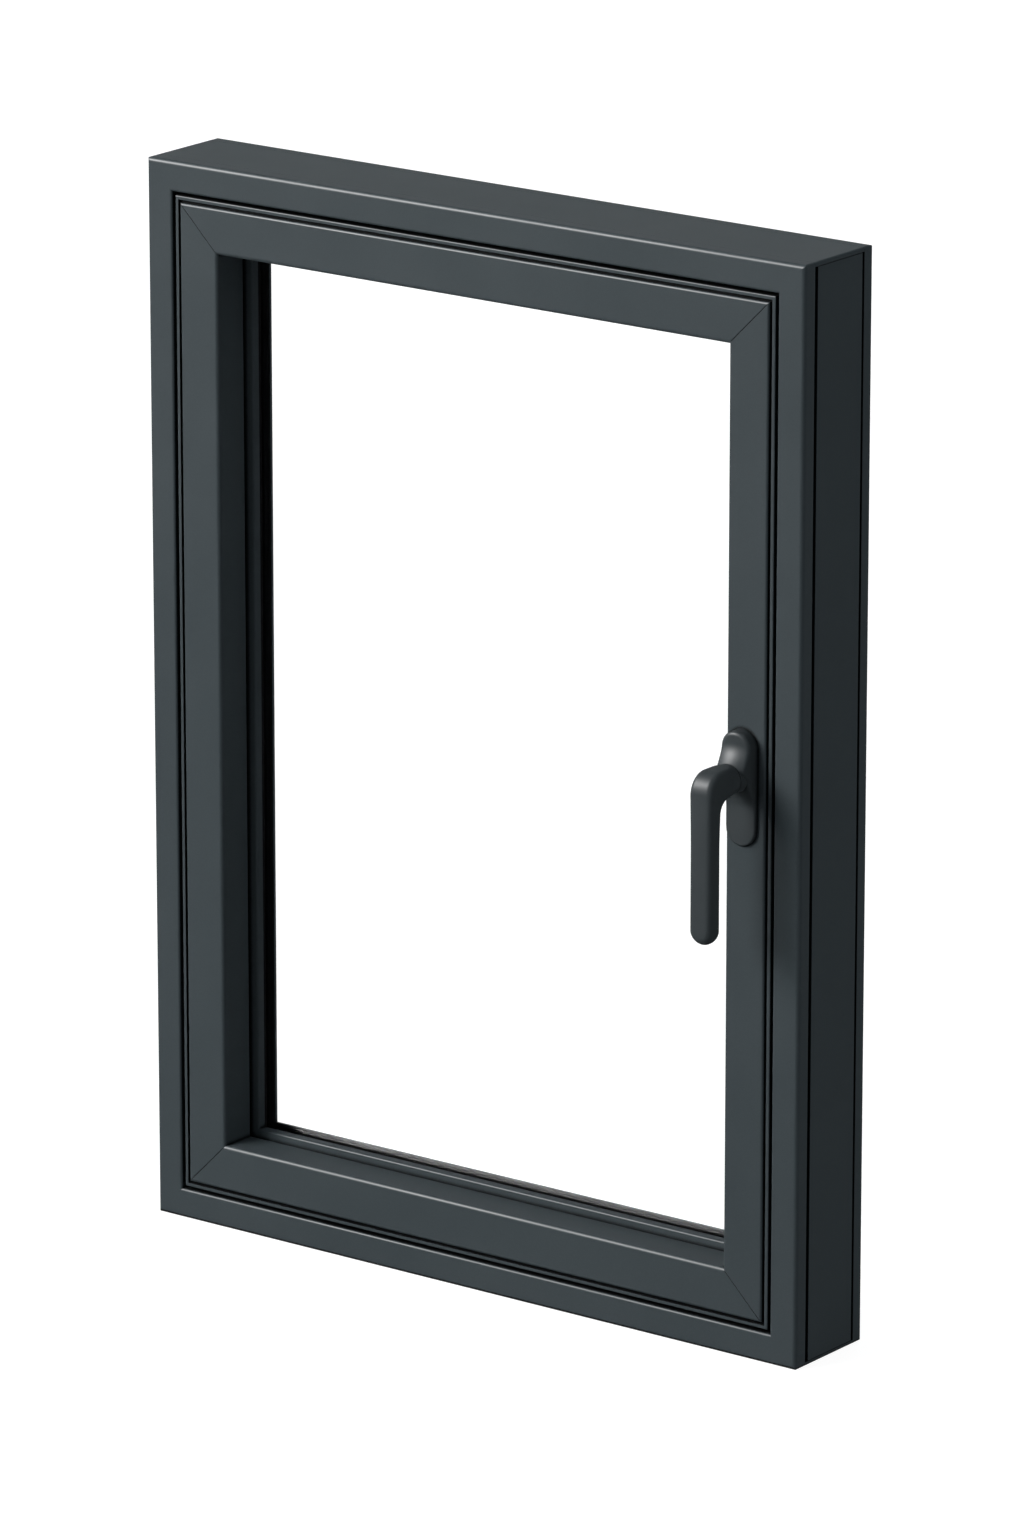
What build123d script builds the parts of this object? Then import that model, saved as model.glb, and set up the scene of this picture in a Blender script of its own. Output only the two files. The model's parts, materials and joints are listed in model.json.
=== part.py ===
from build123d import *
import os

# Inward-opening aluminium window, shut, with a lever handle on its right stile.
# The room side faces -Y, the outside faces +Y and up is +Z. Lengths are millimetres.
# The origin is the middle of the sill's underside.
# Profile sections are drawn as (u, d): u runs inwards from the window's outer edge,
# and d runs from the room face towards the outside.

# Overall size
window_width = 578.0
window_height = 800.0
window_depth = 82.0
corner_radius = 2.0

# Extrusions in general
wall = 1.8
arris_radius = 3.0
gap_arris_radius = 2.0
fine_radius = 1.0

# Fixed frame, room-side shell
frame_face = 22.5
frame_inner_depth = 32.0
stop_reach = 8.5
stop_thickness = 2.5
stop_gasket_thickness = 3.0

# Fixed frame, outdoor shell
frame_outer_depth = 32.0
outer_leg_reach = 47.0
outer_leg_depth = 11.0

# Cover strips let into the frame's outer edge, with a shadow groove at each side on the jambs
front_strip = 12.0
front_groove = 3.5
back_groove = 2.5
cover_thickness = 3.0
cover_fit = 0.1
cover_seam = 0.5

# Sash
rim_gap = 2.5
rim_width = 2.8
rim_setback = 1.0
rim_thickness = 5.0
shadow_groove_width = 2.0
shadow_groove_depth = 3.5
sash_face = 34.0
rebate_height = 19.3
rebate_lip_depth = 8.0
sash_outer_depth = 16.0
sash_leg_depth = 7.0
sash_leg_rise = 5.5
sash_side_offset = 3.8
mitre_groove_side = 0.6

# Hardware groove round the sash's edge
hardware_mouth_setback = 12.0
hardware_mouth_width = 10.0
hardware_undercut = 3.0
hardware_lip = 2.0
hardware_groove_depth = 8.0

# Thermal break strips
strip_thickness = 2.0
strip_inset = 4.0
strip_foot_depth = 2.8
strip_foot_width = 4.0
strip_foot_mouth = 2.6
strip_fit = 0.1
claw_depth = 5.4

# Glazing beads
bead_seam = 3.0
bead_depth = 8.0
bead_wall = 1.4
bead_tongue_depth = 1.8
bead_tongue_width = 1.8
bead_fit = 0.1
bead_radius = 1.5

# Glazing
pane_thickness = 4.0
glass_cavity = 8.0
glass_edge_clearance = 4.0
glazing_gasket_thickness = 2.0
glazing_gasket_height = 6.5
glazing_gasket_recess = 0.6
edge_seal_width = 3.0
spacer_width = 7.0
setting_block_length = 80.0
setting_block_inset = 60.0

# Other gaskets
stop_gasket_width = 4.6
stop_gasket_inset = 0.6
centre_gasket_thickness = 4.0
centre_gasket_clearance = 0.3
weather_gasket_thickness = 3.0
weather_gasket_width = 6.0
weather_gasket_inset = 9.0

# Drainage at the foot of the outdoor shell
drain_slot_length = 26.0
drain_slot_height = 5.0
drain_slot_level = 10.0
drain_cap_length = 36.0
drain_cap_height = 10.0
drain_cap_depth = 3.0
drain_cap_inset = 109.0

# Handle
handle_inset = 49.1
handle_level = 431.0
rosette_width = 25.0
rosette_above = 32.0
rosette_below = 52.0
plate_depth = 3.0
plate_bevel = 1.0
boss_depth = 9.5
boss_bevel = 3.0
journal_radius = 8.0
journal_clearance = 0.05
journal_setback = 1.5
hub_depth = 8.0
hub_reach = 21.0
hub_width = 23.0
hub_sink = 1.0
hub_waist_diameter = 27.0
hub_waist_depth = 3.0
neck_gap = 0.4
neck_diameter = 22.5
neck_flare = 2.5
neck_length = 8.0
neck_height = 21.5
grip_projection = 44.5
grip_width = 19.0
grip_thickness = 14.0
grip_corner = 4.6
grip_reach = 113.5
elbow_outer_radius = 15.0
elbow_inner_radius = 11.0
spindle_size = 7.0
spindle_fit = 0.05
spindle_in_lever = 20.0
spindle_end_clearance = 1.2
spindle_hole_clearance = 1.6

# Places worked out from the sizes above
rim_start = frame_face + rim_gap
sash_start = rim_start + rim_width + shadow_groove_width
sash_end = sash_start + sash_face
sash_side = sash_start + sash_side_offset
stop_front = rim_setback + rim_thickness + stop_gasket_thickness
stop_end = frame_face + stop_reach
frame_outer_start = window_depth - frame_outer_depth
frame_leg_front = window_depth - outer_leg_depth
cover_front = front_strip + front_groove
cover_back = frame_leg_front - back_groove
daylight_edge = sash_end + sash_leg_rise
rebate_floor = daylight_edge - rebate_height
sash_depth = frame_leg_front - weather_gasket_thickness
sash_outer_start = sash_depth - sash_outer_depth
sash_leg_front = sash_depth - sash_leg_depth
pane_back = sash_leg_front - glazing_gasket_thickness
cavity_back = pane_back - pane_thickness
cavity_front = cavity_back - glass_cavity
pane_front = cavity_front - pane_thickness
bead_back = pane_front - glazing_gasket_thickness
bead_front = bead_back - bead_depth
reveal_depth = bead_front - bead_seam
sash_inner_depth = reveal_depth + rebate_lip_depth
spindle_end = reveal_depth - wall - spindle_end_clearance
hardware_mouth_end = sash_inner_depth - hardware_mouth_setback
hardware_mouth_start = hardware_mouth_end - hardware_mouth_width
glass_edge = rebate_floor + glass_edge_clearance
room_face = -window_depth / 2
frame_strips_at = (cover_thickness + wall + strip_inset, frame_face - strip_inset)
sash_strips_at = (sash_side + strip_inset, rebate_floor - bead_tongue_depth - strip_inset)


# A closed outline through (u, d) points; each round is a corner's u, d and radius.
def outline(points, *rounds):
    face = make_face(Polyline(*points, close=True))
    for u, d, radius in rounds:
        corner = face.vertices().sort_by_distance((u, d, 0))[0]
        face = fillet(corner, radius)
    return face


def block(u_start, u_end, d_start, d_end):
    return outline([(u_start, d_start), (u_end, d_start), (u_end, d_end), (u_start, d_end)])


# One strip foot, a dovetail that widens away from its mouth.
def strip_foot(u, mouth, direction, gap):
    half_mouth = strip_foot_mouth / 2 + gap
    half_root = strip_foot_width / 2 + gap
    root = mouth + direction * (strip_foot_depth + gap)
    return outline([
        (u - half_mouth, mouth), (u + half_mouth, mouth), (u + half_root, root), (u - half_root, root),
    ])


# Both strips of one thermal break between two shells.
def strip_pair(places, start, end):
    faces = []
    for u in places:
        web = block(u - strip_thickness / 2, u + strip_thickness / 2, start, end)
        faces.append(web + strip_foot(u, start, -1, 0) + strip_foot(u, end, 1, 0))
    return faces


# Straight bar of one section, both ends cut at 45 degrees to meet its neighbours.
# The cutting wedge starts a little outside the window's edge and reaches past any section.
def mitred_bar(face, length):
    outside = -wall
    reach = 2 * outer_leg_reach
    wedge = outline([
        (outside, outside), (reach, reach), (reach, length - reach), (outside, length - outside),
    ])
    return extrude(face, length) & extrude(Plane.XZ * wedge, reach, both=True)


# Cuts that leave a fine V groove in the room face along both mitres of a bar.
def mitre_grooves(length):
    cut = Rot(45, 0, 0) * Box(4 * outer_leg_reach, mitre_groove_side, mitre_groove_side)
    return [Rot(0, -45, 0) * cut, Pos(0, 0, length) * Rot(0, 45, 0) * cut]


# Each side of the window runs from one corner to the next; these are its section planes.
right_edge = window_width / 2
side_planes = {
    "sill": Plane((right_edge, room_face, 0), x_dir=(0, 0, 1), z_dir=(-1, 0, 0)),
    "jamb_left": Plane((-right_edge, room_face, 0), x_dir=(1, 0, 0), z_dir=(0, 0, 1)),
    "head": Plane((-right_edge, room_face, window_height), x_dir=(0, 0, -1), z_dir=(1, 0, 0)),
    "jamb_right": Plane((right_edge, room_face, window_height), x_dir=(-1, 0, 0), z_dir=(0, 0, -1)),
}
side_lengths = {
    "sill": window_width,
    "jamb_left": window_height,
    "head": window_width,
    "jamb_right": window_height,
}
sash_names = {"sill": "bottom", "jamb_left": "left", "head": "top", "jamb_right": "right"}


def bar_on_side(side, face):
    return side_planes[side].location * mitred_bar(face, side_lengths[side])


def sash_inner_bar(side):
    length = side_lengths[side]
    return side_planes[side].location * (mitred_bar(sash_inner_section(), length) - mitre_grooves(length))


def strips_round(faces):
    return [bar_on_side(side, face).solid() for side in side_planes for face in faces]


# A closed ring of plain rectangular section, all the way round the window.
def ring(u_start, u_end, d_start, d_end):
    level = window_height / 2
    outer = Rectangle(window_width - 2 * u_start, window_height - 2 * u_start)
    inner = Rectangle(window_width - 2 * u_end, window_height - 2 * u_end)
    plane = Plane((0, room_face + d_start, level), x_dir=(1, 0, 0), z_dir=(0, -1, 0))
    return extrude(plane * (outer - inner), -(d_end - d_start))


def sheet(u_edge, d_start, d_end):
    plane = Plane((0, room_face + d_start, window_height / 2), x_dir=(1, 0, 0), z_dir=(0, -1, 0))
    face = Rectangle(window_width - 2 * u_edge, window_height - 2 * u_edge)
    return extrude(plane * face, -(d_end - d_start))


# The window's outer envelope, with its four corners eased along the depth.
envelope = extrude(
    Plane((0, room_face, window_height / 2), x_dir=(1, 0, 0), z_dir=(0, -1, 0))
    * RectangleRounded(window_width, window_height, corner_radius),
    -window_depth,
)


def frame_inner_section():
    chamber_back = frame_inner_depth - claw_depth
    shell = outline(
        [
            (0, 0), (frame_face, 0), (frame_face, stop_front), (stop_end, stop_front),
            (stop_end, stop_front + stop_thickness), (frame_face, stop_front + stop_thickness),
            (frame_face, frame_inner_depth), (cover_thickness, frame_inner_depth),
            (cover_thickness, front_strip), (0, front_strip),
        ],
        (0, 0, arris_radius), (frame_face, 0, gap_arris_radius),
    )
    shell -= outline([
        (wall, wall), (frame_face - wall, wall), (frame_face - wall, chamber_back),
        (cover_thickness + wall, chamber_back), (cover_thickness + wall, front_strip - wall),
        (wall, front_strip - wall),
    ], (wall, wall, arris_radius - wall))
    for u in frame_strips_at:
        shell -= strip_foot(u, frame_inner_depth, -1, strip_fit)
    return shell


def frame_outer_section():
    start = frame_outer_start
    chamber_front = start + claw_depth
    leg = frame_leg_front
    back = window_depth - wall
    shell = outline(
        [
            (cover_thickness, start), (frame_face, start), (frame_face, leg), (outer_leg_reach, leg),
            (outer_leg_reach, window_depth), (0, window_depth), (0, leg), (cover_thickness, leg),
        ],
        (outer_leg_reach, leg, fine_radius), (outer_leg_reach, window_depth, arris_radius),
        (0, window_depth, arris_radius),
    )
    shell -= outline([
        (cover_thickness + wall, chamber_front), (frame_face - wall, chamber_front),
        (frame_face - wall, leg + wall),
        (outer_leg_reach - wall, leg + wall), (outer_leg_reach - wall, back), (wall, back),
        (wall, leg + wall), (cover_thickness + wall, leg + wall),
    ], (outer_leg_reach - wall, back, arris_radius - wall), (wall, back, arris_radius - wall))
    for u in frame_strips_at:
        shell -= strip_foot(u, start, 1, strip_fit)
    return shell


def sash_inner_section():
    rim_back = rim_setback + rim_thickness
    groove_start = rim_start + rim_width
    groove_floor = sash_side + hardware_groove_depth
    cave_start = hardware_mouth_start - hardware_undercut
    cave_end = hardware_mouth_end + hardware_undercut
    shell = outline(
        [
            (rim_start, rim_setback), (groove_start, rim_setback), (groove_start, shadow_groove_depth),
            (sash_start, shadow_groove_depth), (sash_start, 0), (sash_end, 0), (sash_end, reveal_depth),
            (rebate_floor, reveal_depth), (rebate_floor, sash_inner_depth), (sash_side, sash_inner_depth),
            (sash_side, rim_back), (rim_start, rim_back),
        ],
        (rim_start, rim_setback, fine_radius), (sash_start, 0, gap_arris_radius),
        (sash_end, 0, arris_radius), (sash_end, reveal_depth, fine_radius),
    )
    shell -= block(sash_side, sash_side + hardware_lip, hardware_mouth_start, hardware_mouth_end)
    shell -= block(sash_side + hardware_lip, groove_floor, cave_start, cave_end)
    chamber_side = groove_floor + wall
    shell -= outline([
        (sash_side + wall, wall), (sash_end - wall, wall), (sash_end - wall, reveal_depth - wall),
        (chamber_side, reveal_depth - wall), (chamber_side, cave_start - wall),
        (sash_side + wall, cave_start - wall),
    ], (sash_end - wall, wall, arris_radius - wall))
    for u in sash_strips_at:
        shell -= strip_foot(u, sash_inner_depth, -1, strip_fit)
    tongue_front = bead_front + bead_wall
    shell -= block(
        rebate_floor - bead_tongue_depth - bead_fit, rebate_floor,
        tongue_front - bead_fit, tongue_front + bead_tongue_width + bead_fit)
    return shell


def sash_outer_section():
    start = sash_outer_start
    chamber_front = start + claw_depth
    leg = sash_leg_front
    back = sash_depth - wall
    shell = outline(
        [
            (sash_side, start), (rebate_floor, start), (rebate_floor, leg), (daylight_edge, leg),
            (daylight_edge, sash_depth), (sash_side, sash_depth),
        ],
        (daylight_edge, leg, fine_radius), (daylight_edge, sash_depth, arris_radius),
        (sash_side, sash_depth, fine_radius),
    )
    shell -= outline([
        (sash_side + wall, chamber_front), (rebate_floor - wall, chamber_front),
        (rebate_floor - wall, leg + wall),
        (daylight_edge - wall, leg + wall), (daylight_edge - wall, back), (sash_side + wall, back),
    ], (daylight_edge - wall, back, arris_radius - wall))
    for u in sash_strips_at:
        shell -= strip_foot(u, start, 1, strip_fit)
    return shell


def bead_section():
    shell = outline(
        [
            (rebate_floor, bead_front), (daylight_edge, bead_front),
            (daylight_edge, bead_back), (rebate_floor, bead_back),
        ],
        (daylight_edge, bead_front, bead_radius), (daylight_edge, bead_back, fine_radius),
    )
    shell -= block(
        rebate_floor + bead_wall, daylight_edge - bead_wall, bead_front + bead_wall, bead_back - bead_wall)
    tongue_front = bead_front + bead_wall
    return shell + block(
        rebate_floor - bead_tongue_depth, rebate_floor, tongue_front, tongue_front + bead_tongue_width)


# A round body about the handle's axis, from (radius, level) points.
def turned(points):
    return revolve(hub * Rot(90, 0, 0) * outline(points), Axis(hub.position, (0, -1, 0)))


# An upright slot shape about the handle's axis, reaching as far as its two ends.
def slot(above, below, width):
    return Pos(0, (above - below) / 2) * SlotOverall(above + below, width, rotation=90)


# Thin oblong base plate with a raised boss round the axis, and a hub that flares up to the lever's neck.
def handle_rosette():
    half_width = rosette_width / 2
    plate = extrude(hub * slot(rosette_above, rosette_below, rosette_width), plate_depth)
    plate = chamfer(plate.faces().sort_by(Axis.Y)[0].edges(), plate_bevel)
    boss = extrude(hub * slot(rosette_above, half_width, rosette_width), boss_depth)
    boss = chamfer(boss.faces().sort_by(Axis.Y)[0].edges(), boss_bevel)
    crown = boss_depth + hub_depth
    flare = turned([
        (0, boss_depth - hub_sink), (hub_reach, boss_depth - hub_sink),
        (hub_waist_diameter / 2, boss_depth + hub_waist_depth), (neck_diameter / 2, crown), (0, crown),
    ])
    side_step = (rosette_width - hub_width) / 2
    flare &= extrude(hub * slot(rosette_above - side_step, hub_width / 2, hub_width), crown)
    return plate + boss + flare - extrude(hub * Circle(journal_radius + journal_clearance), crown)


# One cast piece: journal, neck, elbow and flat grip, hanging down at rest.
# The neck is turned round where it meets the hub and narrows into its oblong section.
def handle_lever():
    neck_start = boss_depth + hub_depth + neck_gap
    neck_end = neck_start + neck_length
    back = grip_projection - grip_thickness / 2
    front = grip_projection + grip_thickness / 2
    half_height = neck_height / 2
    bend = outline(
        [
            (neck_start, half_height), (front, half_height), (front, -grip_reach), (back, -grip_reach),
            (back, -half_height), (neck_start, -half_height),
        ],
        (front, half_height, elbow_outer_radius), (back, -half_height, elbow_inner_radius),
    )
    side_view = Plane((grip_width / 2, 0, 0), x_dir=(0, 0, 1), z_dir=(-1, 0, 0))
    lever = extrude(hub * (side_view * bend), grip_width)
    tip_centre = grip_reach - grip_width / 2
    front_view = Pos(0, (half_height - tip_centre) / 2) * Rectangle(grip_width, half_height + tip_centre)
    front_view += Pos(0, -tip_centre) * Circle(grip_width / 2)
    lever &= extrude(hub * front_view, front)
    neck_edges = lever.edges().filter_by(Axis.Y).sort_by(Axis.Z)[-4:]
    lever = fillet(neck_edges, grip_corner)
    neck_radius = neck_diameter / 2
    lever -= turned([
        (neck_radius, neck_start), (neck_diameter, neck_start), (neck_diameter, neck_end),
        (neck_radius + neck_flare, neck_end),
    ])
    lever += turned([(0, neck_start), (neck_radius, neck_start), (grip_width / 2, neck_end), (0, neck_end)])
    journal = extrude(Pos(0, 0, journal_setback) * Circle(journal_radius), neck_start - journal_setback)
    lever += hub * journal
    socket = Rectangle(spindle_size + 2 * spindle_fit, spindle_size + 2 * spindle_fit)
    return lever - extrude(hub * socket, spindle_in_lever + spindle_fit)


def handle_spindle():
    bar = Rectangle(spindle_size, spindle_size)
    return extrude(hub * Pos(0, 0, -spindle_end) * bar, spindle_end + spindle_in_lever)


# Cover strips of the head and the sill run right across; those of the jambs fit between them.
def cover_strip(side):
    plane = side_planes[side].location
    if side in ("head", "sill"):
        face = block(0, cover_thickness, front_strip + cover_fit, frame_leg_front - cover_fit)
        return (plane * extrude(face, window_width)) & envelope
    inset = cover_thickness + cover_seam
    face = block(0, cover_thickness, cover_front, cover_back)
    return plane * extrude(Pos(0, 0, inset) * face, window_height - 2 * inset)


# Slots in the sill's outdoor face that let rebate water out, and the caps over them.
drain_x = right_edge - drain_cap_inset
drain_places = [Pos(x, window_depth / 2, drain_slot_level) for x in (-drain_x, drain_x)]


def drained(sill):
    for place in drain_places:
        sill -= place * Box(drain_slot_length, outer_leg_depth, drain_slot_height)
    return sill


def drain_caps():
    cap = Pos(0, drain_cap_depth / 2) * Box(drain_cap_length, drain_cap_depth, drain_cap_height)
    cap = fillet(cap.faces().sort_by(Axis.Y)[-1].edges(), fine_radius)
    return [place * cap for place in drain_places]


def setting_blocks():
    pad = Box(setting_block_length, pane_back - pane_front, glass_edge_clearance)
    pad_x = right_edge - glass_edge - setting_block_inset
    middle = room_face + (pane_front + pane_back) / 2
    level = rebate_floor + glass_edge_clearance / 2
    return [Pos(x, middle, level) * pad for x in (-pad_x, pad_x)]


# The handle is drawn on its own axis: x to the right, y up and z towards the room.
hub = Location((right_edge - handle_inset, room_face, handle_level)) * Rot(90, 0, 0)

os.makedirs("parts", exist_ok=True)
pieces = {}

for side in side_planes:
    pieces["frame_inner_" + side] = bar_on_side(side, frame_inner_section()) & envelope
    pieces["frame_outer_" + side] = bar_on_side(side, frame_outer_section()) & envelope
    pieces["cover_strip_" + side] = cover_strip(side)
    sash_name = sash_names[side]
    pieces["sash_inner_" + sash_name] = sash_inner_bar(side)
    pieces["sash_outer_" + sash_name] = bar_on_side(side, sash_outer_section())
    pieces["glazing_bead_" + sash_name] = bar_on_side(side, bead_section())
pieces["frame_outer_sill"] = drained(pieces["frame_outer_sill"])
pieces["sash_inner_right"] -= extrude(
    hub * Circle(spindle_size / 2 ** 0.5 + spindle_hole_clearance), -wall)

frame_strips = strip_pair(frame_strips_at, frame_inner_depth, frame_outer_start)
sash_strips = strip_pair(sash_strips_at, sash_inner_depth, sash_outer_start)
pieces["frame_thermal_strips"] = strips_round(frame_strips)
pieces["sash_thermal_strips"] = strips_round(sash_strips)

pieces["pane_inner"] = sheet(glass_edge, pane_front, cavity_front)
pieces["pane_outer"] = sheet(glass_edge, cavity_back, pane_back)
seal_end = glass_edge + edge_seal_width
pieces["glass_edge_seal"] = ring(glass_edge, seal_end, cavity_front, cavity_back)
pieces["glass_spacer"] = ring(seal_end, seal_end + spacer_width, cavity_front, cavity_back)
gasket_top = daylight_edge - glazing_gasket_recess
gasket_foot = gasket_top - glazing_gasket_height
pieces["glazing_gasket_inner"] = ring(gasket_foot, gasket_top, bead_back, pane_front)
pieces["glazing_gasket_outer"] = ring(gasket_foot, gasket_top, pane_back, sash_leg_front)
stop_gasket_start = rim_start + stop_gasket_inset
pieces["stop_gasket"] = ring(
    stop_gasket_start, stop_gasket_start + stop_gasket_width, rim_setback + rim_thickness, stop_front)
centre_gasket_end = sash_side - centre_gasket_clearance
pieces["centre_gasket"] = ring(
    frame_face, centre_gasket_end, frame_outer_start, frame_outer_start + centre_gasket_thickness)
weather_gasket_start = outer_leg_reach - weather_gasket_inset
pieces["weather_gasket"] = ring(
    weather_gasket_start, weather_gasket_start + weather_gasket_width, sash_depth, frame_leg_front)
pieces["setting_blocks"] = setting_blocks()
pieces["drain_caps"] = drain_caps()
pieces["handle_rosette"] = handle_rosette()
pieces["handle_lever"] = handle_lever()
pieces["handle_spindle"] = handle_spindle()

for name, piece in pieces.items():
    export_step(Compound(piece) if isinstance(piece, list) else piece, "parts/" + name + ".step")
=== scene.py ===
import json
import math
import bpy
import bmesh
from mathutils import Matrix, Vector


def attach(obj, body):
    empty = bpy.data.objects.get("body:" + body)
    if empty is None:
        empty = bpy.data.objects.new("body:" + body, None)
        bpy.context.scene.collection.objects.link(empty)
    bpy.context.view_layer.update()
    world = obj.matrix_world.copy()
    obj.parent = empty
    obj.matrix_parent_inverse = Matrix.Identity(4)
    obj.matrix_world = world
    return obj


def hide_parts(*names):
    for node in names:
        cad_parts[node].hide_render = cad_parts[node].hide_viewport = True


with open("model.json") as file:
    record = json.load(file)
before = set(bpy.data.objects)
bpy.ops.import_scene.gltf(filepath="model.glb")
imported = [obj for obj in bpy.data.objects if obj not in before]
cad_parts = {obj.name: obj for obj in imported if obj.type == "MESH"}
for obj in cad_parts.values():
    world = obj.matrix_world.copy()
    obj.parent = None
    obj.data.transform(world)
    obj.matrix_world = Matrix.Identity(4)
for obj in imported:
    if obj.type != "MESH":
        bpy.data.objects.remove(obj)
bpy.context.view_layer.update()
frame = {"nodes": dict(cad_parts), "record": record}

mm = 0.001
quarterTurn = math.radians(90)
weldDistance = 0.002  # in mm, points closer than this are merged
noiseSpan = (0.3, 0.7)  # a noise texture's values lie mostly in this span
creviceSamples = 8
scene = bpy.context.scene
nodes = frame["nodes"]
print("frame loaded,", len(nodes), "nodes")


# small helpers

def hexColour(text):  # sRGB hex to Blender's linear colour
    linear = []
    for start in (0, 2, 4):
        value = int(text[start:start + 2], 16) / 255
        linear.append(value / 12.92 if value <= 0.04045 else ((value + 0.055) / 1.055) ** 2.4)
    return (*linear, 1.0)


def addNode(tree, kind, inputs=None, **settings):  # inputs hold a value or another node's socket
    node = tree.nodes.new(kind)
    for name, value in settings.items():
        setattr(node, name, value)
    for key, value in (inputs or {}).items():
        if isinstance(value, bpy.types.NodeSocket):
            tree.links.new(value, node.inputs[key])
        else:
            node.inputs[key].default_value = value
    return node


def patternScale(size):  # texture scale for a pattern of this size in mm
    return 1 / (size * mm)


def blankMaterial(name):
    material = bpy.data.materials.new(name)
    material.use_nodes = True
    material.node_tree.nodes.clear()
    return material, material.node_tree


def finish(tree, shaderSocket):
    addNode(tree, "ShaderNodeOutputMaterial", {"Surface": shaderSocket})


def link(name, mesh):
    piece = bpy.data.objects.new(name, mesh)
    scene.collection.objects.link(piece)
    return piece


def meshPiece(name, bm, material, sharpAngle=None):  # edges steeper than sharpAngle stay crisp
    bmesh.ops.remove_doubles(bm, verts=bm.verts, dist=weldDistance * mm)
    bmesh.ops.recalc_face_normals(bm, faces=bm.faces)
    if sharpAngle is not None:
        for face in bm.faces:
            face.smooth = True
        for edge in bm.edges:
            edge.smooth = edge.calc_face_angle(0) < math.radians(sharpAngle)
    mesh = bpy.data.meshes.new(name)
    bm.to_mesh(mesh)
    bm.free()
    mesh.materials.append(material)
    return link(name, mesh)


def bridge(bm, rings, closeStart=False):  # skins a row of equal loops
    loops = [[bm.verts.new(point) for point in ring] for ring in rings]
    for low, high in zip(loops, loops[1:]):
        for i in range(len(low)):
            j = (i + 1) % len(low)
            bm.faces.new((low[i], low[j], high[j], high[i]))
    if closeStart:
        bm.faces.new(loops[0])


def nodeGroup(name, sockets):  # geometry tree with named inputs
    tree = bpy.data.node_groups.new(name, "GeometryNodeTree")
    tree.interface.new_socket("Geometry", in_out="INPUT", socket_type="NodeSocketGeometry")
    tree.interface.new_socket("Geometry", in_out="OUTPUT", socket_type="NodeSocketGeometry")
    for label, kind in sockets.items():
        tree.interface.new_socket(label, in_out="INPUT", socket_type=kind)
    return tree, tree.nodes.new("NodeGroupInput").outputs


def dress(tree, geometry, material):  # last nodes of every geometry tree
    real = addNode(tree, "GeometryNodeRealizeInstances", {"Geometry": geometry})
    dressed = addNode(tree, "GeometryNodeSetMaterial", {
        "Geometry": real.outputs[0], "Material": material})
    addNode(tree, "NodeGroupOutput", {0: dressed.outputs[0]})
    return tree


def grow(piece, tree, values):  # runs a geometry tree on a piece and keeps the plain mesh
    modifier = piece.modifiers.new(tree.name, "NODES")
    modifier.node_group = tree
    for item in tree.interface.items_tree:
        if item.item_type == "SOCKET" and item.in_out == "INPUT" and item.name in values:
            modifier[item.identifier] = values[item.name]
    graph = bpy.context.evaluated_depsgraph_get()
    grown = bpy.data.meshes.new_from_object(piece.evaluated_get(graph))
    piece.modifiers.remove(modifier)
    bm = bmesh.new()
    bm.from_mesh(grown)
    bmesh.ops.recalc_face_normals(bm, faces=bm.faces)
    bm.to_mesh(grown)
    bm.free()
    grown.name = piece.name
    piece.data = grown


def ease(value, low, high):  # 0 below low, 1 above high and a smooth rise between
    share = min(max((value - low) / (high - low), 0), 1)
    return share * share * (3 - 2 * share)


def roundedRectangle(halfWidth, halfHeight, corner, steps):
    corner = min(corner, halfWidth, halfHeight)
    points = []
    for quarter, (sx, sy) in enumerate(((1, 1), (-1, 1), (-1, -1), (1, -1))):
        for step in range(steps + 1):
            turn = quarterTurn * (quarter + step / steps)
            points.append((sx * (halfWidth - corner) + corner * math.cos(turn),
                           sy * (halfHeight - corner) + corner * math.sin(turn)))
    return points


# materials: sizes are in mm. Real grain, pores, grit and drawing lines measure 0.1 to 0.2 mm and
# would not show in the render, so they are drawn at 0.5 to 0.8 mm. "shine" is the Specular IOR
# Level, kept far below 0.5 so that the faces don't mirror the white background at this low angle.

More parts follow.
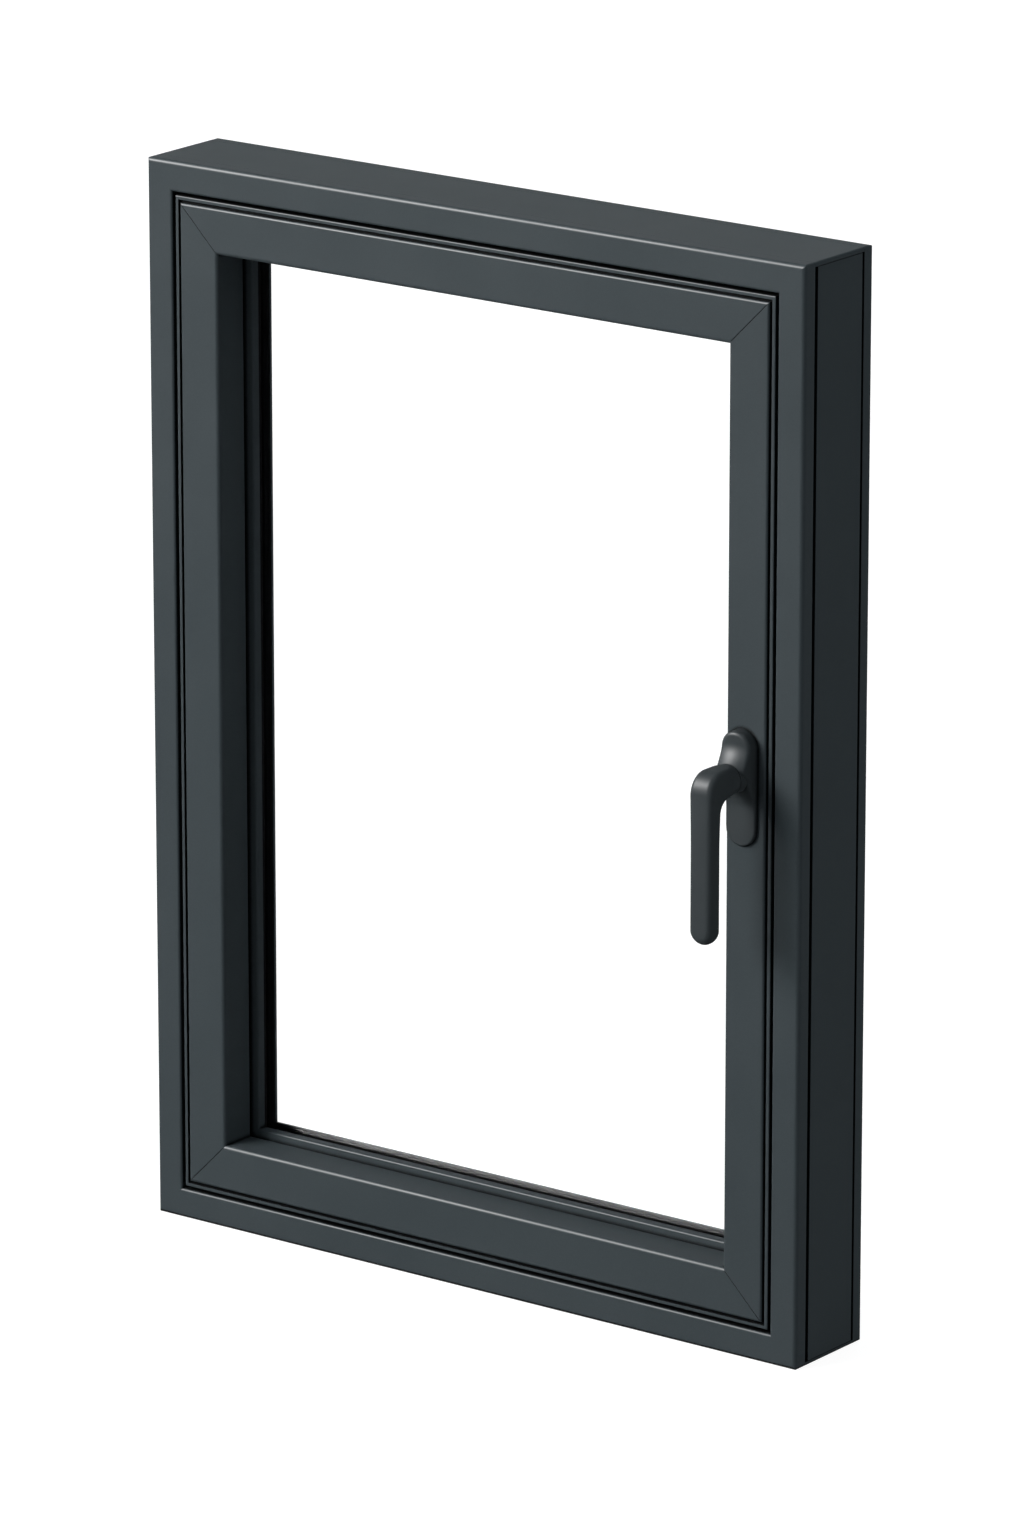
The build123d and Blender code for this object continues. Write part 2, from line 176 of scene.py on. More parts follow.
def powderCoat(name, look):
    # Aluminium with a baked polyester powder coat, sprayed on and stoved. It shows one dark
    # grey with a satin sheen, a fine grain and a faint orange peel. Its colour is darkened in the
    # grooves by an ambient occlusion node, as painted shade.
    material, tree = blankMaterial(name)
    place = addNode(tree, "ShaderNodeTexCoord").outputs["Object"]
    cloud = addNode(tree, "ShaderNodeTexNoise", {
        "Vector": place, "Scale": patternScale(look["cloudSize"]),
        "Detail": 3.0, "Roughness": 0.55})
    grain = addNode(tree, "ShaderNodeTexNoise", {
        "Vector": place, "Scale": patternScale(look["grainSize"]), "Detail": 2.0, "Roughness": 0.6})
    peel = addNode(tree, "ShaderNodeTexNoise", {
        "Vector": place, "Scale": patternScale(look["peelSize"]), "Detail": 1.0})
    colour = addNode(tree, "ShaderNodeMix", {
        0: cloud.outputs[0], 6: hexColour(look["shade"]), 7: hexColour(look["tint"])},
        data_type="RGBA")
    low, high = noiseSpan
    speckle = addNode(tree, "ShaderNodeMapRange", {
        "Value": grain.outputs[0], "From Min": low, "From Max": high,
        "To Min": 1 - look["speckle"], "To Max": 1 + look["speckle"]})
    # painted shade: an ambient occlusion node darkens the coat's colour in grooves, crevices and
    # where parts meet
    crevice = addNode(tree, "ShaderNodeAmbientOcclusion", {
        "Distance": look["creviceReach"] * mm}, samples=creviceSamples)
    paintedCreviceShade = addNode(tree, "ShaderNodeMapRange", {
        "Value": crevice.outputs["AO"], "From Min": look["creviceDark"],
        "From Max": look["creviceClear"], "To Min": look["creviceShade"], "To Max": 1.0},
        interpolation_type="SMOOTHSTEP")
    shading = addNode(tree, "ShaderNodeMath", {
        0: speckle.outputs[0], 1: paintedCreviceShade.outputs[0]}, operation="MULTIPLY")
    speckledAndShaded = addNode(tree, "ShaderNodeVectorMath", {
        0: colour.outputs[2], "Scale": shading.outputs[0]}, operation="SCALE")
    rough = addNode(tree, "ShaderNodeMapRange", {
        "Value": cloud.outputs[0], "From Min": low, "From Max": high,
        "To Min": look["roughness"] - look["unevenness"],
        "To Max": look["roughness"] + look["unevenness"]})
    peelBump = addNode(tree, "ShaderNodeBump", {
        "Height": peel.outputs[0], "Distance": look["peelHeight"] * mm, "Strength": 1.0})
    grainBump = addNode(tree, "ShaderNodeBump", {
        "Height": grain.outputs[0], "Distance": look["grainHeight"] * mm, "Strength": 1.0,
        "Normal": peelBump.outputs[0]})
    shader = addNode(tree, "ShaderNodeBsdfPrincipled", {
        "Base Color": speckledAndShaded.outputs[0], "Roughness": rough.outputs[0],
        "Normal": grainBump.outputs[0], "IOR": 1.5, "Specular IOR Level": look["shine"]})
    finish(tree, shader.outputs[0])
    return material


profileCoat = {
    "shade": "383f42", "tint": "3d4447", "roughness": 0.45, "shine": 0.011,
    "cloudSize": 90, "grainSize": 0.7, "grainHeight": 0.006, "speckle": 0.05,
    "peelSize": 3.2, "peelHeight": 0.008,
    # the crevice values set the painted shade: how far the occlusion darkening reaches and how dark
    # it gets
    "creviceReach": 5.0, "creviceDark": 0.55, "creviceClear": 0.85, "creviceShade": 0.05,
    "unevenness": 0.03,
}
handleCoat = {
    "shade": "34393b", "tint": "383d3f", "roughness": 0.48, "shine": 0.010,
    "cloudSize": 30, "grainSize": 0.5, "grainHeight": 0.004, "speckle": 0.03,
    "peelSize": 2.4, "peelHeight": 0.004,
    # the crevice values set the painted shade: how far the occlusion darkening reaches and how dark
    # it gets
    "creviceReach": 5.0, "creviceDark": 0.5, "creviceClear": 0.9, "creviceShade": 0.3,
    "unevenness": 0.03,
}


def curedRubber(name, look):
    # EPDM rubber, extruded and cured, or a sealant that cures in place. It is matte black with
    # fine pores and a greyish bloom where it ages.
    material, tree = blankMaterial(name)
    place = addNode(tree, "ShaderNodeTexCoord").outputs["Object"]
    bloom = addNode(tree, "ShaderNodeTexNoise", {
        "Vector": place, "Scale": patternScale(look["bloomSize"]), "Detail": 4.0})
    pores = addNode(tree, "ShaderNodeTexNoise", {
        "Vector": place, "Scale": patternScale(look["poreSize"]), "Detail": 2.0})
    colour = addNode(tree, "ShaderNodeMix", {
        0: bloom.outputs[0], 6: hexColour(look["colour"]), 7: hexColour(look["bloom"])},
        data_type="RGBA")
    bump = addNode(tree, "ShaderNodeBump", {
        "Height": pores.outputs[0], "Distance": look["poreDepth"] * mm, "Strength": 1.0})
    shader = addNode(tree, "ShaderNodeBsdfPrincipled", {
        "Base Color": colour.outputs[2], "Roughness": look["roughness"], "Normal": bump.outputs[0],
        "IOR": 1.5, "Specular IOR Level": look["shine"]})
    finish(tree, shader.outputs[0])
    return material


rubberLook = {
    "colour": "0b0b0c", "bloom": "151516", "roughness": 0.75, "shine": 0.001,
    "bloomSize": 25, "poreSize": 0.5, "poreDepth": 0.02,
}
sealantLook = {
    "colour": "101011", "bloom": "17171a", "roughness": 0.7, "shine": 0.005,
    "bloomSize": 12, "poreSize": 2.5, "poreDepth": 0.1,  # the ripples that a nozzle leaves
}


def dullPlastic(name, look):
    # Plastic that was extruded, as the polyamide and the spacer, or moulded, as the blocks and
    # caps. Its flow and filler leave a dull, slightly streaked skin with a fine grit.
    material, tree = blankMaterial(name)
    place = addNode(tree, "ShaderNodeTexCoord").outputs["Object"]
    streaks = addNode(tree, "ShaderNodeTexNoise", {
        "Vector": place, "Scale": patternScale(look["streakSize"]),
        "Detail": 5.0, "Distortion": 0.6})
    grit = addNode(tree, "ShaderNodeTexVoronoi", {
        "Vector": place, "Scale": patternScale(look["gritSize"])})
    colour = addNode(tree, "ShaderNodeMix", {
        0: streaks.outputs[0], 6: hexColour(look["colour"]), 7: hexColour(look["streak"])},
        data_type="RGBA")
    bump = addNode(tree, "ShaderNodeBump", {
        "Height": grit.outputs["Distance"], "Distance": look["gritDepth"] * mm, "Strength": 1.0})
    shader = addNode(tree, "ShaderNodeBsdfPrincipled", {
        "Base Color": colour.outputs[2], "Roughness": look["roughness"], "Normal": bump.outputs[0],
        "IOR": 1.52, "Specular IOR Level": look["shine"]})
    finish(tree, shader.outputs[0])
    return material


polyamideLook = {
    "colour": "141414", "streak": "1c1c1c", "roughness": 0.6, "shine": 0.01,
    "streakSize": 6, "gritSize": 0.6, "gritDepth": 0.02,
}
spacerLook = {
    "colour": "161617", "streak": "1b1b1c", "roughness": 0.7, "shine": 0.003,
    "streakSize": 10, "gritSize": 0.5, "gritDepth": 0.005,
}
settingBlockLook = {
    "colour": "1f2326", "streak": "25292c", "roughness": 0.5, "shine": 0.01,
    "streakSize": 8, "gritSize": 0.8, "gritDepth": 0.02,
}
drainCapLook = {
    "colour": "383f42", "streak": "3c4346", "roughness": 0.45, "shine": 0.012,
    "streakSize": 14, "gritSize": 0.6, "gritDepth": 0.02,
}


def floatGlass(name, look):
    # Clear soda-lime float glass, floated flat on molten tin. Its iron gives the faintest green.
    # Light from the lamps and from other surfaces passes straight through.
    material, tree = blankMaterial(name)
    place = addNode(tree, "ShaderNodeTexCoord").outputs["Object"]
    haze = addNode(tree, "ShaderNodeTexNoise", {
        "Vector": place, "Scale": patternScale(look["hazeSize"]), "Detail": 3.0})
    tint = addNode(tree, "ShaderNodeMix", {
        0: haze.outputs[0], 6: hexColour(look["clear"]), 7: hexColour(look["tinted"])},
        data_type="RGBA")
    shader = addNode(tree, "ShaderNodeBsdfPrincipled", {
        "Base Color": tint.outputs[2], "Roughness": look["roughness"], "IOR": 1.52,
        "Specular IOR Level": look["shine"], "Transmission Weight": 1.0})
    openPath = addNode(tree, "ShaderNodeBsdfTransparent", {"Color": hexColour(look["clear"])})
    path = addNode(tree, "ShaderNodeLightPath")
    lampOrDiffuse = addNode(tree, "ShaderNodeMath", {
        0: path.outputs["Is Shadow Ray"], 1: path.outputs["Is Diffuse Ray"]}, operation="MAXIMUM")
    letThrough = addNode(tree, "ShaderNodeMath", {
        0: lampOrDiffuse.outputs[0], 1: path.outputs["Is Glossy Ray"]}, operation="MAXIMUM")
    mixed = addNode(tree, "ShaderNodeMixShader", {
        0: letThrough.outputs[0], 1: shader.outputs[0], 2: openPath.outputs[0]})
    finish(tree, mixed.outputs[0])
    return material


glassLook = {
    "clear": "ffffff", "tinted": "fcfefd", "roughness": 0.0, "shine": 0.1, "hazeSize": 300,
}


def platedSteel(name, look):
    # Drawn square steel bar, zinc plated. It has drawing lines along its length, which is Y, and
    # a bluish white shine.
    material, tree = blankMaterial(name)
    place = addNode(tree, "ShaderNodeTexCoord").outputs["Object"]
    stretched = addNode(tree, "ShaderNodeMapping", {
        "Vector": place, "Scale": (1.0, look["stretch"], 1.0)})
    lines = addNode(tree, "ShaderNodeTexNoise", {
        "Vector": stretched.outputs[0], "Scale": patternScale(look["lineSize"]), "Detail": 3.0})
    colour = addNode(tree, "ShaderNodeMix", {
        0: lines.outputs[0], 6: hexColour(look["colour"]), 7: hexColour(look["bright"])},
        data_type="RGBA")
    bump = addNode(tree, "ShaderNodeBump", {
        "Height": lines.outputs[0], "Distance": look["lineDepth"] * mm, "Strength": 1.0})
    shader = addNode(tree, "ShaderNodeBsdfPrincipled", {
        "Base Color": colour.outputs[2], "Metallic": 1.0, "Roughness": look["roughness"],
        "Normal": bump.outputs[0]})
    finish(tree, shader.outputs[0])
    return material


steelLook = {
    "colour": "a9adb0", "bright": "c3c7ca", "roughness": 0.35,
    "lineSize": 0.5, "lineDepth": 0.01, "stretch": 0.04,
}

finishes = {
    "frame_coating": powderCoat("powder_coated_aluminium_frame", profileCoat),
    "sash_coating": powderCoat("powder_coated_aluminium_sash", profileCoat),
    "handle_coating": powderCoat("powder_coated_cast_handle", handleCoat),
    "spindle_steel": platedSteel("zinc_plated_steel", steelLook),
    "float_glass": floatGlass("clear_float_glass", glassLook),
    "gasket_rubber": curedRubber("epdm_rubber", rubberLook),
    "edge_sealant": curedRubber("polysulphide_sealant", sealantLook),
    "spacer_bar": dullPlastic("warm_edge_spacer_plastic", spacerLook),
    "polyamide": dullPlastic("glass_filled_polyamide", polyamideLook),
    "setting_block": dullPlastic("polypropylene_setting_block", settingBlockLook),
    "drain_cap": dullPlastic("asa_drain_cap", drainCapLook),
}

for part in frame["record"]["subparts"]:
    shown = nodes[part["node"]]
    material = finishes[part["material_slot"]]
    if not shown.material_slots:
        shown.data.materials.append(material)
    for slot in shown.material_slots:
        slot.material = material
print("materials on the CAD nodes done")


# handle: the axis through the rosette, with level measured from the sash face towards the room
handleAxis = Vector((0.2399, -0.041, 0.431))


def onHandle(x, up, level):  # millimetres on the handle's own axes
    return handleAxis + Vector((x, -level, up)) * mm


rosette = {  # above and below are the plate's ends, measured from the axis
    "halfWidth": 12.5, "above": 32.6, "below": 52.0, "plateDepth": 3.0, "plateRim": 1.2,
    "bossDepth": 10.8, "bossRim": 3.0, "bossDome": 1.0, "bossFoot": -24.0, "bossShoulder": -2.0,
    "bore": 8.05, "crown": 17.5, "neck": 11.25, "flareReach": 13.0, "flarePower": 1.7,
    "flareLow": -4.0, "flareHigh": 8.0,
    "edge": 0.35, "around": 160, "across": 48, "sharpAngle": 38,
}


def insetFrom(x, up, top, foot):  # how far inside a slot outline a point lies
    near = min(max(up, foot), top)
    return rosette["halfWidth"] - math.hypot(x, up - near)


def roundedRim(inset, rim):  # 0 at the edge and 1 on the flat, along a quarter ellipse
    share = min(max(inset / rim, 0), 1)
    return math.sqrt(1 - (1 - share) ** 2)


def rosetteEdge(angle):  # distance from the axis to the plate's outline
    radius = rosette["halfWidth"]
    top, foot = rosette["above"] - radius, radius - rosette["below"]
    dx, dy = math.cos(angle), math.sin(angle)
    if dx:
        side = radius / abs(dx)
        if foot <= side * dy <= top:
            return side
    centre = top if dy > 0 else foot
    along = centre * dy
    return along + math.sqrt(radius ** 2 - centre ** 2 + along ** 2)


def rosetteLevel(x, up):
    radius = rosette["halfWidth"]
    top, foot = rosette["above"] - radius, radius - rosette["below"]
    boss = ease(up, rosette["bossFoot"], rosette["bossShoulder"])
    rim = rosette["plateRim"] + (rosette["bossRim"] - rosette["plateRim"]) * boss
    inset = insetFrom(x, up, top, foot)
    body = rosette["plateDepth"] + (rosette["bossDepth"] - rosette["plateDepth"]) * boss
    body -= rim * (1 - roundedRim(inset, rim)) + rosette["bossDome"] * boss * (x / radius) ** 2
    share = min(max((math.hypot(x, up) - rosette["neck"]) / rosette["flareReach"], 0), 1)
    lift = rosette["crown"] - rosette["edge"] - body
    lift *= ease(up, rosette["flareLow"], rosette["flareHigh"])
    lift *= (1 - share) ** rosette["flarePower"]
    return body + lift * roundedRim(inset, radius - rosette["neck"])


def buildRosette():
    angles = [2 * math.pi * i / rosette["around"] for i in range(rosette["around"])]
    crown, edge, neck, bore = (rosette[key] for key in ("crown", "edge", "neck", "bore"))

    def ringAt(reaches, level=None):  # without a level it lies on the rosette's face
        points = []
        for angle, reach in zip(angles, reaches):
            x, up = reach * math.cos(angle), reach * math.sin(angle)
            points.append(onHandle(x, up, rosetteLevel(x, up) if level is None else level))
        return points

    rings = [ringAt([reach] * len(angles), level) for reach, level in (
        (bore, 0.0), (bore, crown - edge), (bore + edge, crown),
        (neck - edge, crown), (neck, crown - edge))]
    outline = [rosetteEdge(angle) for angle in angles]
    for step in range(rosette["across"] + 1):
        share = ease(step / rosette["across"], 0, 1)
        rings.append(ringAt([neck + (far - neck) * share for far in outline]))
    rings.append(ringAt(outline, 0.0))
    rings.append(rings[0])
    bm = bmesh.new()
    bridge(bm, rings)
    return meshPiece("handle_rosette_cast", bm, finishes["handle_coating"], rosette["sharpAngle"])


lever = {  # front and back are the grip's levels, reach its tip below the axis
    "neckStart": 17.9, "neckRadius": 11.25, "neckEnd": 25.9, "journal": 8.0, "journalStart": 1.5,
    "halfHeight": 10.75, "halfWidth": 9.5, "corner": 4.6, "front": 51.5, "back": 37.5,
    "outerRadius": 15.0, "innerRadius": 11.0, "reach": 113.5, "tipCorner": 6.8, "edge": 0.4,
    "plainRings": (-40, -60, -80), "cornerSteps": 8, "neckSteps": 8, "elbowSteps": 16,
    "tipSteps": 14, "sharpAngle": 38,
}


# a section of the lever between two (level, up) points of its side view
def leverSection(outer, inner, halfWidth, corner):
    centre = (outer + inner) / 2
    across = (outer - inner).normalized()
    half = (outer - inner).length / 2
    section = roundedRectangle(halfWidth, half, corner, lever["cornerSteps"])
    return [onHandle(x, centre.y + across.y * v, centre.x + across.x * v) for x, v in section]


def buildLever():
    halfHeight, radius, journal = lever["halfHeight"], lever["neckRadius"], lever["journal"]
    start, end, edge = lever["neckStart"], lever["neckEnd"], lever["edge"]

    def straight(level, half, width, corner):
        return leverSection(Vector((level, half)), Vector((level, -half)), width, corner)

    rings = [straight(level, size, size, size) for level, size in (
        (lever["journalStart"], journal), (start, journal),
        (start, radius - edge), (start + edge, radius))]
    for step in range(1, lever["neckSteps"] + 1):  # round neck to the grip's section
        share = step / lever["neckSteps"]
        blend = ease(share, 0, 1)
        half, width, corner = (radius + (size - radius) * blend for size in (
            halfHeight, lever["halfWidth"], lever["corner"]))
        rings.append(straight(start + edge + (end - start - edge) * share, half, width, corner))
    outerCentre = Vector((lever["front"] - lever["outerRadius"], halfHeight - lever["outerRadius"]))
    innerCentre = Vector((lever["back"] - lever["innerRadius"], -halfHeight - lever["innerRadius"]))
    for step in range(lever["elbowSteps"] + 1):
        turn = quarterTurn * step / lever["elbowSteps"]
        aim = Vector((math.sin(turn), math.cos(turn)))
        rings.append(leverSection(
            outerCentre + aim * lever["outerRadius"], innerCentre + aim * lever["innerRadius"],
            lever["halfWidth"], lever["corner"]))
    for up in lever["plainRings"]:
        rings.append(leverSection(
            Vector((lever["front"], up)), Vector((lever["back"], up)),
            lever["halfWidth"], lever["corner"]))
    middle = (lever["front"] + lever["back"]) / 2
    half = (lever["front"] - lever["back"]) / 2
    tipCentre = lever["halfWidth"] - lever["reach"]
    for step in range(lever["tipSteps"] + 1):  # both halves of the section turn down and meet
        turn = quarterTurn * step / lever["tipSteps"]
        corner = lever["corner"] + (lever["tipCorner"] - lever["corner"]) * math.sin(turn)
        section = roundedRectangle(lever["halfWidth"], half, corner, lever["cornerSteps"])
        rings.append([
            onHandle(x * math.cos(turn), tipCentre - abs(x) * math.sin(turn), middle + v)
            for x, v in section])
    bm = bmesh.new()
    bridge(bm, rings, closeStart=True)
    return meshPiece("handle_lever_cast", bm, finishes["handle_coating"], lever["sharpAngle"])


rosettePiece = buildRosette()
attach(rosettePiece, "window")
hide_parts("handle_rosette")

leverPiece = buildLever()
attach(leverPiece, "handle")
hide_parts("handle_lever")
print("handle done")


# gaskets: one profile each, as (u, d) points in mm, where u runs inwards from the window's edge
# and d from the room face to the outside, swept round the window with a small turn at each corner
gaskets = {
    "width": 578.0, "height": 800.0, "roomFace": -41.0, "corner": 1.2, "cornerSteps": 6,
    "profiles": {
        "glazing_gasket_inner": [
            (62.2, 41.0), (68.1, 41.0), (68.5, 41.15), (68.7, 41.5), (68.6, 42.4), (68.2, 42.9),
            (67.2, 43.0), (66.8, 42.5), (66.2, 42.5), (65.8, 43.0), (64.8, 43.0), (64.4, 42.5),
            (63.8, 42.5), (63.4, 43.0), (62.6, 43.0), (62.2, 42.6)],
        "glazing_gasket_outer": [
            (62.2, 61.0), (68.1, 61.0), (68.5, 60.85), (68.7, 60.5), (68.6, 59.6), (68.2, 59.1),
            (67.2, 59.0), (66.8, 59.5), (66.2, 59.5), (65.8, 59.0), (64.8, 59.0), (64.4, 59.5),
            (63.8, 59.5), (63.4, 59.0), (62.6, 59.0), (62.2, 59.4)],
        "stop_gasket": [
            (25.6, 6.0), (30.2, 6.0), (30.2, 6.5), (29.5, 6.7), (29.9, 7.2), (29.8, 7.9),
            (29.3, 8.6), (28.4, 9.0), (27.4, 9.0), (26.5, 8.6), (26.0, 7.9), (25.9, 7.2),
            (26.3, 6.7), (25.6, 6.5)],
        "centre_gasket": [
            (22.5, 50.0), (24.8, 50.0), (26.0, 50.9), (32.9, 51.8), (33.3, 52.2), (33.0, 52.6),
            (26.4, 53.0), (24.8, 54.0), (22.5, 54.0)],
        "weather_gasket": [
            (38.0, 71.0), (44.0, 71.0), (44.0, 70.4), (42.6, 70.1), (43.6, 69.2), (43.3, 68.4),
            (42.5, 68.0), (41.7, 68.4), (40.8, 69.8), (38.0, 70.3)],
    },
}


def sweepTree():
    tree, given = nodeGroup("rubber_sweep", {
        "Width": "NodeSocketFloat", "Height": "NodeSocketFloat", "Corner": "NodeSocketFloat",
        "Corner Steps": "NodeSocketInt", "Place": "NodeSocketVector",
        "Rubber": "NodeSocketMaterial"})
    path = addNode(tree, "GeometryNodeCurvePrimitiveQuadrilateral", {
        "Width": given["Width"], "Height": given["Height"]})
    turned = addNode(tree, "GeometryNodeFilletCurve", {
        "Curve": path.outputs[0], "Radius": given["Corner"], "Count": given["Corner Steps"]},
        mode="POLY")
    profile = addNode(tree, "GeometryNodeMeshToCurve", {"Mesh": given["Geometry"]})
    swept = addNode(tree, "GeometryNodeCurveToMesh", {
        "Curve": turned.outputs[0], "Profile Curve": profile.outputs[0]})
    placed = addNode(tree, "GeometryNodeTransform", {
        "Geometry": swept.outputs[0], "Translation": given["Place"],
        "Rotation": (quarterTurn, 0, 0)})
    return dress(tree, placed.outputs[0], given["Rubber"])


def buildGaskets():
    tree = sweepTree()
    for name, profile in gaskets["profiles"].items():
        inner = max(u for u, d in profile)  # the path runs along the gasket's innermost edge
        mesh = bpy.data.meshes.new(name)
        points = [((inner - u) * mm, d * mm, 0) for u, d in profile]
        mesh.from_pydata(points, [(i, (i + 1) % len(points)) for i in range(len(points))], [])
        piece = link(name + "_rubber", mesh)
        grow(piece, tree, {
            "Width": (gaskets["width"] - 2 * inner) * mm,
            "Height": (gaskets["height"] - 2 * inner) * mm,
            "Corner": gaskets["corner"] * mm, "Corner Steps": gaskets["cornerSteps"],
            "Place": (0, gaskets["roomFace"] * mm, gaskets["height"] / 2 * mm),
            "Rubber": finishes["gasket_rubber"]})
        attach(piece, "window")
        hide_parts(name)


buildGaskets()
print("gaskets done")


# drain caps: a rounded frame with upright ribs over each slot at the foot of the outdoor face
drainCap = {
    "halfLength": 18.0, "halfHeight": 5.0, "depth": 3.0, "corner": 1.6, "innerCorner": 0.4,
    "rim": 0.8, "lip": 0.4, "border": 2.6, "cornerSteps": 5, "rimSteps": 4, "sharpAngle": 50,
    "ribs": 8, "ribSpacing": 3.6, "ribSize": (1.1, 1.8, 5.0), "ribLevel": 1.3,
    "caps": 2, "apart": 360.0, "level": 10.0, "outdoorFace": 41.0,
}


def capRing(inset, depth):  # rounded rectangle in the upright plane
    halfX, halfZ = drainCap["halfLength"] - inset, drainCap["halfHeight"] - inset
    corner = max(drainCap["corner"] - inset, drainCap["innerCorner"])
    outline = roundedRectangle(halfX, halfZ, corner, drainCap["cornerSteps"])
    return [Vector((x, depth, z)) * mm for x, z in outline]


def ventTree():
    tree, given = nodeGroup("drain_ribs", {
        "Ribs": "NodeSocketInt", "First Rib": "NodeSocketVector", "Rib Step": "NodeSocketVector",
        "Rib Size": "NodeSocketVector", "Caps": "NodeSocketInt", "First Cap": "NodeSocketVector",
        "Cap Step": "NodeSocketVector", "Plastic": "NodeSocketMaterial"})
    ribLine = addNode(tree, "GeometryNodeMeshLine", {
        "Count": given["Ribs"], "Start Location": given["First Rib"], "Offset": given["Rib Step"]})
    rib = addNode(tree, "GeometryNodeMeshCube", {"Size": given["Rib Size"]})
    ribs = addNode(tree, "GeometryNodeInstanceOnPoints", {
        "Points": ribLine.outputs[0], "Instance": rib.outputs[0]})
    cap = addNode(tree, "GeometryNodeJoinGeometry", {0: ribs.outputs[0]})
    tree.links.new(given["Geometry"], cap.inputs[0])
    capLine = addNode(tree, "GeometryNodeMeshLine", {
        "Count": given["Caps"], "Start Location": given["First Cap"], "Offset": given["Cap Step"]})
    caps = addNode(tree, "GeometryNodeInstanceOnPoints", {
        "Points": capLine.outputs[0], "Instance": cap.outputs[0]})
    return dress(tree, caps.outputs[0], given["Plastic"])


def buildDrainCaps():
    depth, rim, border = drainCap["depth"], drainCap["rim"], drainCap["border"]
    lip = drainCap["lip"]
    rings = [capRing(0, 0), capRing(0, depth - rim)]
    for step in range(1, drainCap["rimSteps"] + 1):
        turn = quarterTurn * step / drainCap["rimSteps"]
        rings.append(capRing(rim * (1 - math.cos(turn)), depth - rim + rim * math.sin(turn)))
    rings += [
        capRing(border - lip, depth), capRing(border, depth - lip), capRing(border, 0), rings[0]]
    bm = bmesh.new()
    bridge(bm, rings)
    piece = meshPiece("drain_caps_vented", bm, finishes["drain_cap"], drainCap["sharpAngle"])
    span = (drainCap["ribs"] - 1) * drainCap["ribSpacing"]
    grow(piece, ventTree(), {
        "Ribs": drainCap["ribs"], "First Rib": (-span / 2 * mm, drainCap["ribLevel"] * mm, 0),
        "Rib Step": (drainCap["ribSpacing"] * mm, 0, 0),
        "Rib Size": tuple(side * mm for side in drainCap["ribSize"]),
        "Caps": drainCap["caps"], "First Cap": tuple(place * mm for place in (
            -drainCap["apart"] / 2, drainCap["outdoorFace"], drainCap["level"])),
        "Cap Step": (drainCap["apart"] * mm, 0, 0), "Plastic": finishes["drain_cap"]})
    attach(piece, "window")
    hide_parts("drain_caps")


buildDrainCaps()
print("drain caps done")


# studio: pale floor, soft lamps and the camera

studio = {
    "floorRadius": 10.0, "floorColour": "8a8a8a", "glow": 0.92, "ambient": "8d9094",
    "floorDrop": 0.3, "floorSides": 64, "aim": Vector((0.0, 0.0, 0.4)),
}
# Each soft box has its direction from the window and the rays that see it. The side and back
# lamps would be mirrored at grazing angles, so only diffuse rays see them. The sheen lamp draws
# the light lines on the arrises, and it is strong because the coat's shine is low.
lamps = {
    "key": {
        "from": (-0.50, -0.74, 0.44), "distance": 7.0, "size": 4.0, "power": 550.0,
        "rays": "all"},
    "side": {
        "from": (0.95, 0.08, 0.30), "distance": 7.0, "size": 3.0, "power": 64.0,
        "rays": "diffuse"},
    "back": {
        "from": (-0.40, 0.88, 0.25), "distance": 7.0, "size": 4.0, "power": 130.0,
        "rays": "diffuse"},
    "sheen": {
        "from": (-0.60, -0.58, 0.55), "distance": 5.0, "size": 1.9, "power": 14500.0,
        "rays": "glossy"},
}


def shownWhite(tree):  # 1 for the rays that should see a white background
    path = addNode(tree, "ShaderNodeLightPath")
    seenOrGlossy = addNode(tree, "ShaderNodeMath", {
        0: path.outputs["Is Camera Ray"], 1: path.outputs["Is Glossy Ray"]}, operation="MAXIMUM")
    return addNode(tree, "ShaderNodeMath", {
        0: seenOrGlossy.outputs[0], 1: path.outputs["Is Transmission Ray"]},
        operation="MAXIMUM").outputs[0]


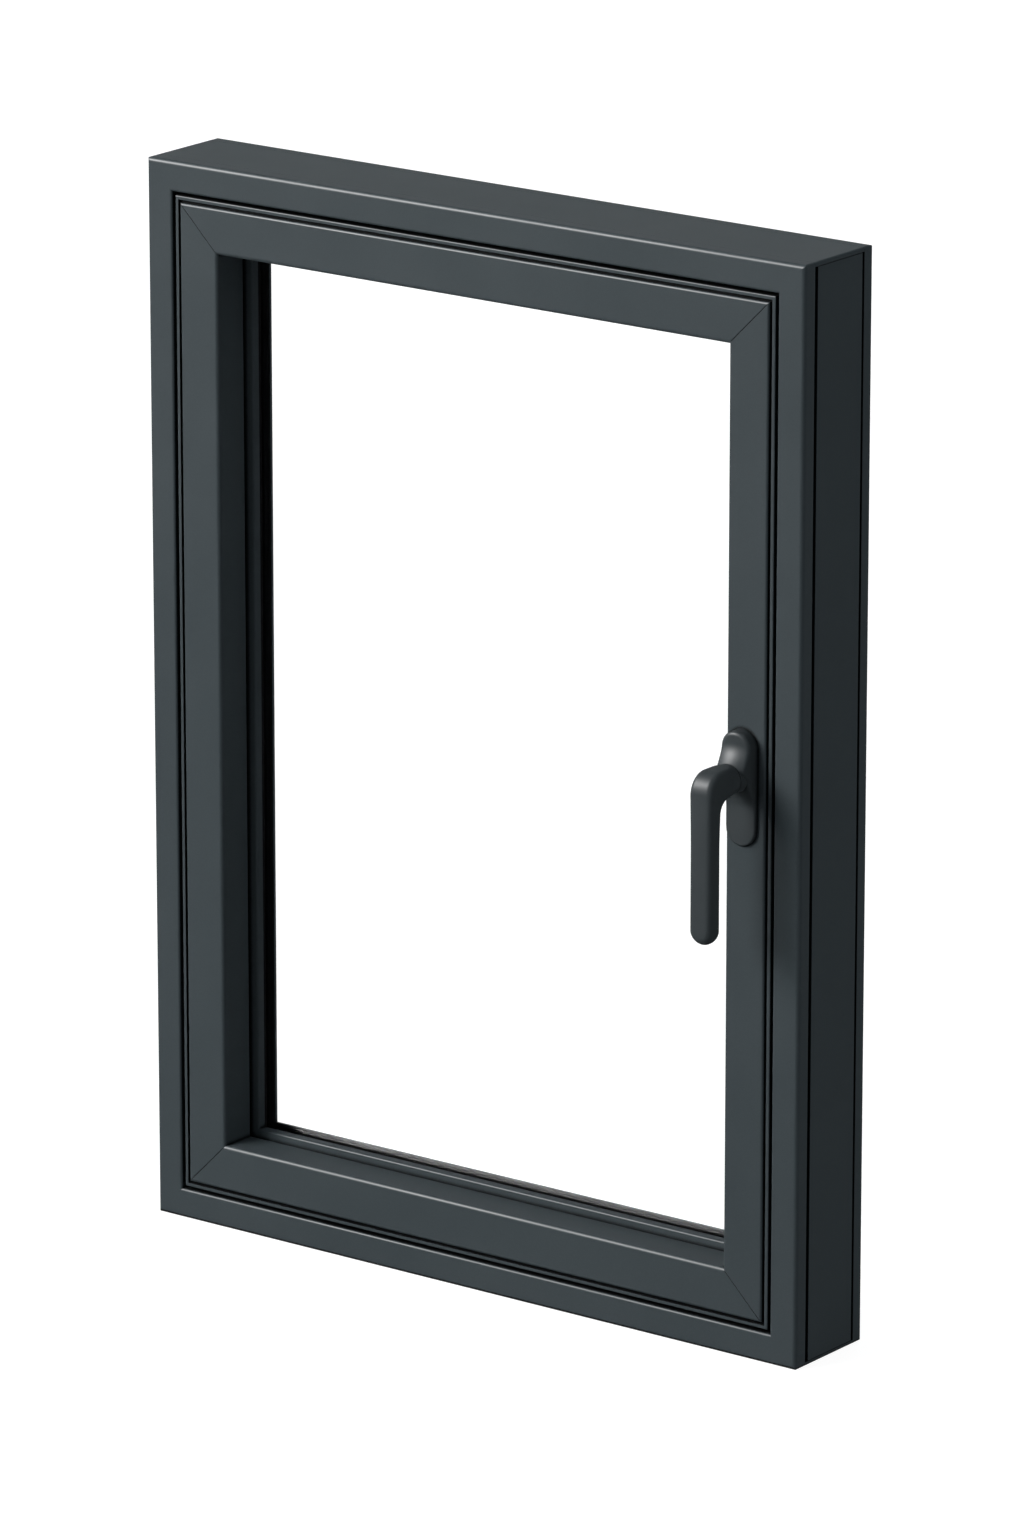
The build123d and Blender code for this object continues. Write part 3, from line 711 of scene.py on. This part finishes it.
def buildFloor():
    bm = bmesh.new()
    bmesh.ops.create_circle(
        bm, cap_ends=True, radius=studio["floorRadius"], segments=studio["floorSides"])
    material, tree = blankMaterial("studio_floor")
    glow = addNode(tree, "ShaderNodeMath", {
        0: shownWhite(tree), 1: studio["glow"]}, operation="MULTIPLY")
    paint = addNode(tree, "ShaderNodeBsdfDiffuse", {"Color": hexColour(studio["floorColour"])})
    light = addNode(tree, "ShaderNodeEmission", {
        "Color": hexColour("ffffff"), "Strength": glow.outputs[0]})
    both = addNode(tree, "ShaderNodeAddShader", {0: paint.outputs[0], 1: light.outputs[0]})
    finish(tree, both.outputs[0])
    bmesh.ops.translate(bm, verts=bm.verts, vec=(0, 0, -studio["floorDrop"] * mm))
    meshPiece("studio_floor", bm, material)


def buildWorld():
    world = bpy.data.worlds.new("studio")
    world.use_nodes = True
    tree = world.node_tree
    tree.nodes.clear()
    white = addNode(tree, "ShaderNodeBackground", {"Color": hexColour("ffffff"), "Strength": 1.0})
    ambient = addNode(tree, "ShaderNodeBackground", {
        "Color": hexColour(studio["ambient"]), "Strength": 1.0})
    mixed = addNode(tree, "ShaderNodeMixShader", {
        0: shownWhite(tree), 1: ambient.outputs[0], 2: white.outputs[0]})
    addNode(tree, "ShaderNodeOutputWorld", {"Surface": mixed.outputs[0]})
    scene.world = world


def buildLamps():
    for name, look in lamps.items():
        lamp = bpy.data.lights.new(name, "AREA")
        lamp.shape = "DISK"
        lamp.size = look["size"]
        lamp.energy = look["power"]
        holder = link(name, lamp)
        holder.visible_diffuse = look["rays"] != "glossy"
        holder.visible_glossy = look["rays"] != "diffuse"
        toLamp = Vector(look["from"]).normalized()
        holder.location = studio["aim"] + toLamp * look["distance"]
        holder.rotation_euler = toLamp.to_track_quat("Z", "Y").to_euler()


camera = {  # fitted to the corners in the photo, with the focal length in its pixels
    "azimuth": 36.9, "elevation": 16.2, "focalPixels": 9154.0, "imageHeight": 1536,
    "sensor": 36.0, "distance": 6.496, "look": Vector((0.039, -0.041, 0.400)),
}


def buildCamera():
    lens = bpy.data.cameras.new("photo_view")
    lens.sensor_width = camera["sensor"]
    lens.lens = camera["focalPixels"] / camera["imageHeight"] * camera["sensor"]
    azimuth, elevation = math.radians(camera["azimuth"]), math.radians(camera["elevation"])
    back = Vector((
        math.sin(azimuth) * math.cos(elevation), -math.cos(azimuth) * math.cos(elevation),
        math.sin(elevation)))
    holder = link("photo_view", lens)
    holder.location = camera["look"] + back * camera["distance"]
    holder.rotation_euler = back.to_track_quat("Z", "Y").to_euler()
    scene.camera = holder


buildFloor()
buildWorld()
buildLamps()
buildCamera()
scene.view_settings.view_transform = "Standard"
print("studio done")
